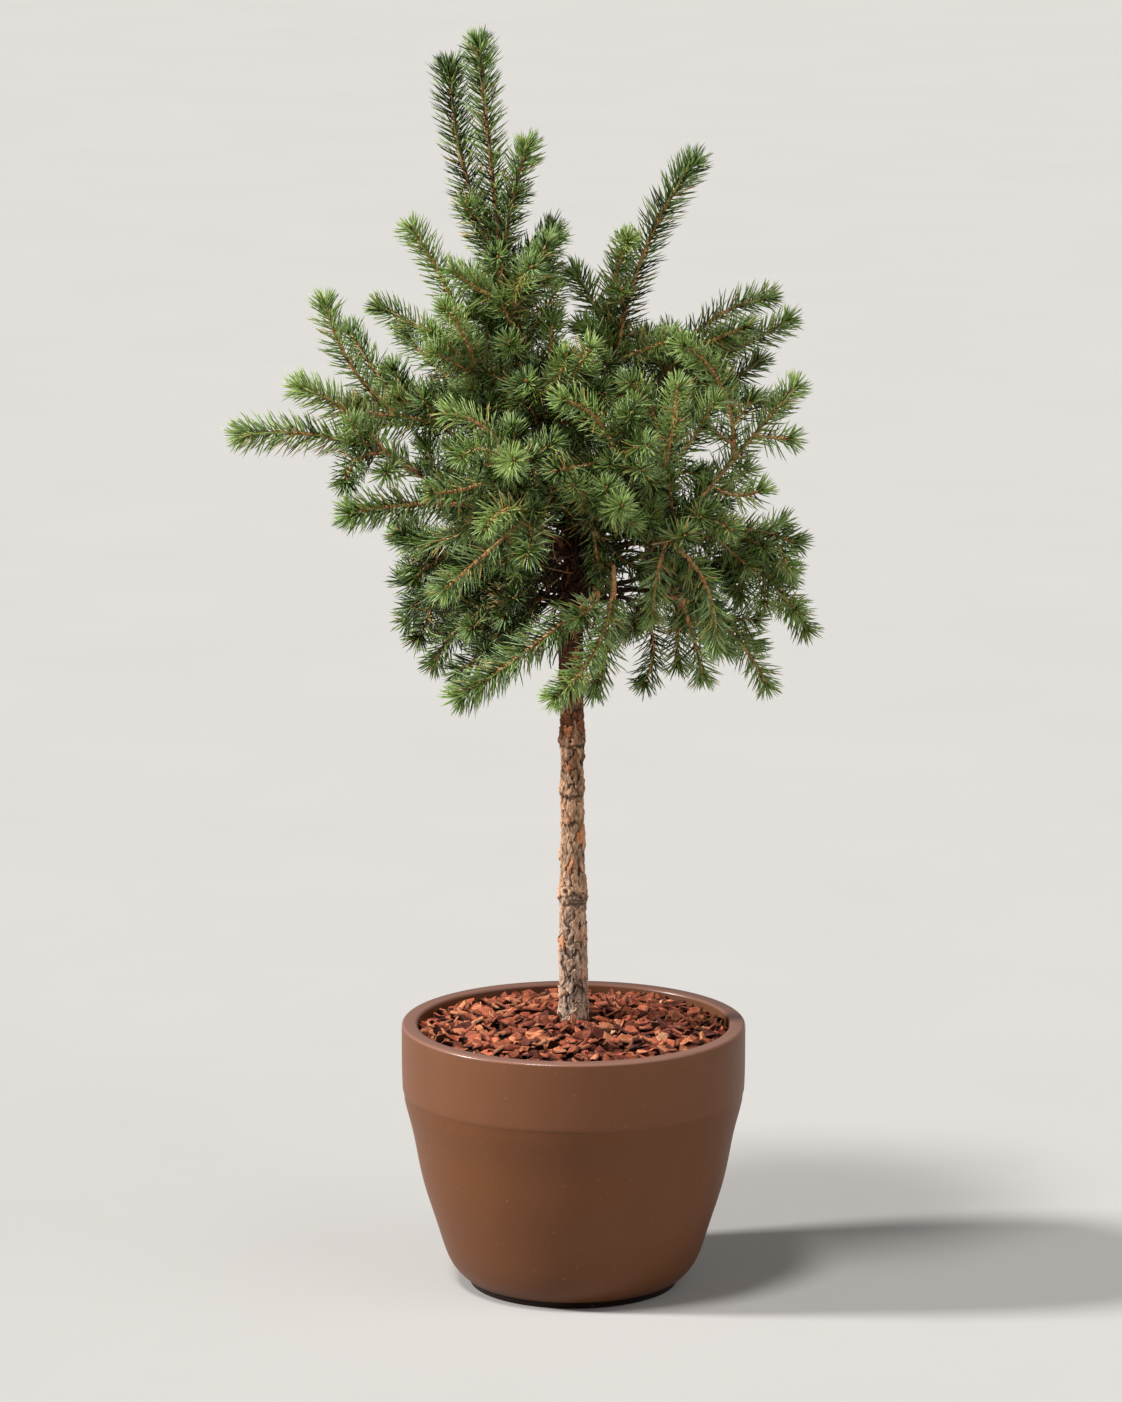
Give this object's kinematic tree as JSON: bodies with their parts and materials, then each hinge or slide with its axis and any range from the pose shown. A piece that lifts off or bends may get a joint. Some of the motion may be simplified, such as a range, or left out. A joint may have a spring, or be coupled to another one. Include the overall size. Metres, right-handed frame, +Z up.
{
  "type": "potted watereri scots pine standard",
  "caption": "Grafted Scots pine on a clear stem, with an open head of needled shoots, in a round brown planter topped with bark mulch.",
  "frame": {"origin": "centre of the pot's flat underside, on the ground", "axes": "+Z up along the stem, +X to the right of the plant's face, +Y away behind it"},
  "size_m": [0.7618, 0.6497, 1.6522],
  "materials": {
    "pot": "satin brown",
    "soil": "moist potting soil",
    "bark_mulch": "red-brown pine bark chips",
    "bark": "scaly grey to orange bark",
    "needles": "green needles on orange-brown shoots"
  },
  "bodies": {
    "root": {"bark_mulch": "bark_mulch", "bough_back_high_left": "bark", "bough_back_high_right": "bark", "bough_back_low_left": "bark", "bough_back_low_right": "bark", "bough_back_middle": "bark", "bough_front_fan": "bark", "bough_front_right": "bark", "bough_front_star": "bark", "bough_left_far": "bark", "bough_left_high": "bark", "bough_left_low": "bark", "bough_left_low_arm": "bark", "bough_left_middle": "bark", "bough_low_centre": "bark", "bough_low_front": "bark", "bough_low_left": "bark", "bough_low_middle": "bark", "bough_low_right": "bark", "bough_right_high": "bark", "bough_right_inner": "bark", "bough_right_low_out": "bark", "bough_right_reach": "bark", "bough_right_star": "bark", "bough_right_upper": "bark", "bough_upper_left": "bark", "leader": "bark", "needles_back_high_left": "needles", "needles_back_high_right": "needles", "needles_back_low_left": "needles", "needles_back_low_right": "needles", "needles_back_middle": "needles", "needles_back_top": "needles", "needles_centre_high": "needles", "needles_front_fan": "needles", "needles_front_right": "needles", "needles_front_star": "needles", "needles_left_far": "needles", "needles_left_high": "needles", "needles_left_low": "needles", "needles_left_low_arm": "needles", "needles_left_middle": "needles", "needles_low_centre": "needles", "needles_low_front": "needles", "needles_low_left": "needles", "needles_low_middle": "needles", "needles_low_right": "needles", "needles_right_high": "needles", "needles_right_inner": "needles", "needles_right_low_out": "needles", "needles_right_reach": "needles", "needles_right_star": "needles", "needles_right_upper": "needles", "needles_top": "needles", "needles_top_front": "needles", "needles_upper_left": "needles", "pot": "pot", "soil": "soil", "trunk": "bark"}
  },
  "joints": []
}
